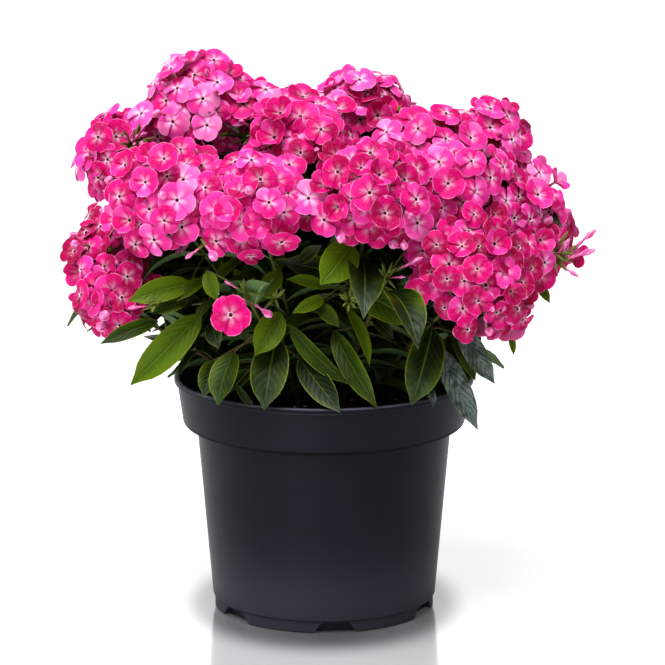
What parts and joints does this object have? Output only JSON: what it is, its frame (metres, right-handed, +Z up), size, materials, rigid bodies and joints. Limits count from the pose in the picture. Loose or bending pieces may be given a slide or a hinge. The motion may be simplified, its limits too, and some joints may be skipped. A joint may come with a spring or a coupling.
{
  "type": "potted phlox plant",
  "caption": "Garden phlox growing in a plain nursery pot: domed heads of bright pink five-petalled florets over dense lance-shaped leaves.",
  "frame": {"origin": "centre of the pot's flat base, on the surface it stands on", "axes": "+Z up, along the pot's axis. -Y is the front, where the leaves and the lower flower heads show most."},
  "size_m": [0.4231, 0.3531, 0.4283],
  "materials": {
    "pot": "satin",
    "compost": "matte",
    "leaf": "satin",
    "petal": "matte"
  },
  "bodies": {
    "root": {"pot": "pot", "compost": "compost", "stem_back_left": "leaf", "stem_back_right": "leaf", "stem_far_left": "leaf", "stem_far_left_side": "leaf", "stem_far_middle_left": "leaf", "stem_far_middle_right": "leaf", "stem_far_right": "leaf", "stem_far_right_side": "leaf", "stem_front_bloom": "leaf", "stem_front_buds": "leaf", "stem_front_left": "leaf", "stem_front_middle_left": "leaf", "stem_front_middle_right": "leaf", "stem_front_right": "leaf", "stem_left_foot": "leaf", "stem_left_high": "leaf", "stem_left_low": "leaf", "stem_middle": "leaf", "stem_right_foot": "leaf", "stem_right_front_high": "leaf", "stem_right_middle": "leaf", "stem_right_middle_high": "leaf", "stem_right_side": "leaf", "stem_top_left": "leaf", "stem_top_left_inner": "leaf", "stem_top_middle": "leaf", "stem_top_right": "leaf", "bloom_back_left": "petal", "bloom_back_right": "petal", "bloom_far_left": "petal", "bloom_far_left_side": "petal", "bloom_far_middle_left": "petal", "bloom_far_middle_right": "petal", "bloom_far_right": "petal", "bloom_far_right_side": "petal", "bloom_front_bloom": "petal", "bloom_front_buds": "petal", "bloom_front_left": "petal", "bloom_front_middle_left": "petal", "bloom_front_middle_right": "petal", "bloom_front_right": "petal", "bloom_left_foot": "petal", "bloom_left_high": "petal", "bloom_left_low": "petal", "bloom_middle": "petal", "bloom_right_foot": "petal", "bloom_right_front_high": "petal", "bloom_right_middle": "petal", "bloom_right_middle_high": "petal", "bloom_right_side": "petal", "bloom_top_left": "petal", "bloom_top_left_inner": "petal", "bloom_top_middle": "petal", "bloom_top_right": "petal"}
  },
  "joints": []
}
